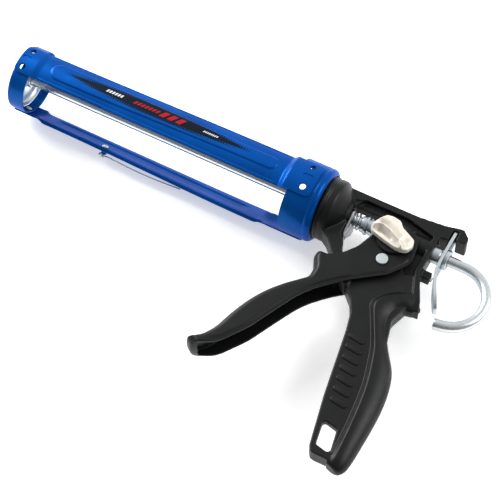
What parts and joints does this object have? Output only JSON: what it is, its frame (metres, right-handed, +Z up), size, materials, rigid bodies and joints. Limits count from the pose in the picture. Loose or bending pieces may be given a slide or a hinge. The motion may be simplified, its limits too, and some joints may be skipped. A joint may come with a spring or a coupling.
{
  "type": "caulking gun",
  "caption": "Half-cradle caulking gun with a smooth hooked rod and piston, swivelling cradle, channel trigger, turn knob and thumb release plate.",
  "frame": {"origin": "bottom centre of the whole gun's box as it lies on its right side", "axes": "+X along the push rod to the rear, where the hook is; +Y to the gun's top, with the grip towards -Y; +Z up, which is the gun's left side"},
  "size_m": [0.421, 0.228, 0.0635],
  "materials": {
    "painted_blue": "glossy metallic blue paint on sheet steel",
    "black_plastic": "satin glass-filled nylon with a fine moulded texture",
    "zinc_steel": "bright zinc plate, faintly blue",
    "spring_steel": "plated spring wire and strip",
    "white_metal": "plain satin pin head",
    "ivory_plastic": "warm grey cast knob with a soft sheen",
    "black_steel": "black oxide"
  },
  "bodies": {
    "frame": {"handle_frame": "black_plastic", "retaining_plate": "black_steel", "front_bush": "zinc_steel", "rear_bush": "zinc_steel", "spring_plate": "spring_steel", "trigger_pin": "white_metal", "pin_clip": "zinc_steel", "return_spring": "spring_steel", "release_spring": "spring_steel"},
    "cradle": {"front_ring": "painted_blue", "rear_ring": "painted_blue", "tray": "painted_blue", "strut": "painted_blue", "front_rivet": "zinc_steel", "rear_rivet": "zinc_steel", "needle_rivet": "zinc_steel", "needle_spacer": "painted_blue"},
    "needle": {"seal_needle": "zinc_steel"},
    "piston": {"piston": "zinc_steel", "piston_hub": "zinc_steel"},
    "rod": {"push_rod": "zinc_steel"},
    "trigger": {"trigger": "black_plastic", "drive_roller": "zinc_steel"},
    "selector": {"selector_knob": "ivory_plastic", "selector_base": "black_plastic", "selector_shaft": "zinc_steel", "shaft_washer": "zinc_steel"},
    "clutch": {"drive_sleeve": "zinc_steel", "drive_plate_1": "zinc_steel", "drive_plate_2": "zinc_steel"},
    "release_plate": {"release_plate": "zinc_steel", "release_collar": "zinc_steel"}
  },
  "joints": [
    {"name": "cradle_spin", "type": "hinge", "parent": "frame", "child": "cradle", "pos_m": [0.04754, 0.084, 0.03218], "axis": [1, 0, 0], "continuous": true},
    {"name": "needle_swing", "type": "hinge", "parent": "cradle", "child": "needle", "pos_m": [-0.12496, 0.06122, 0.00739], "axis": [0, -0.5446, -0.8387], "range_deg": [0, 180]},
    {"name": "piston_slide", "type": "slide", "parent": "frame", "child": "piston", "axis": [1, 0, 0], "range_m": [0, 0.25]},
    {"name": "rod_spin", "type": "hinge", "parent": "piston", "child": "rod", "pos_m": [-0.20786, 0.084, 0.03218], "axis": [1, 0, 0], "continuous": true},
    {"name": "trigger_squeeze", "type": "hinge", "parent": "frame", "child": "trigger", "pos_m": [0.12274, 0.0552, 0.03218], "axis": [0, 0, 1], "range_deg": [0, 28], "stiffness_Nm_per_rad": 0.3, "springref_deg": -20.05},
    {"name": "selector_turn", "type": "hinge", "parent": "trigger", "child": "selector", "pos_m": [0.12304, 0.075, 0.03218], "axis": [0, 0, 1], "range_deg": [0, 90]},
    {"name": "clutch_slide", "type": "slide", "parent": "frame", "child": "clutch", "axis": [1, 0, 0], "range_m": [-0.0096, 0], "deforming": ["return_spring"]},
    {"name": "release_press", "type": "hinge", "parent": "frame", "child": "release_plate", "pos_m": [0.16139, 0.1057, 0.03218], "axis": [0, 0, 1], "range_deg": [-1.5, 0], "stiffness_Nm_per_rad": 0.5, "springref_deg": 2.86, "deforming": ["release_spring"]}
  ],
  "couplings": [
    {"joint": "clutch_slide", "follows": "trigger_squeeze", "m_per_rad": -0.0195}
  ]
}
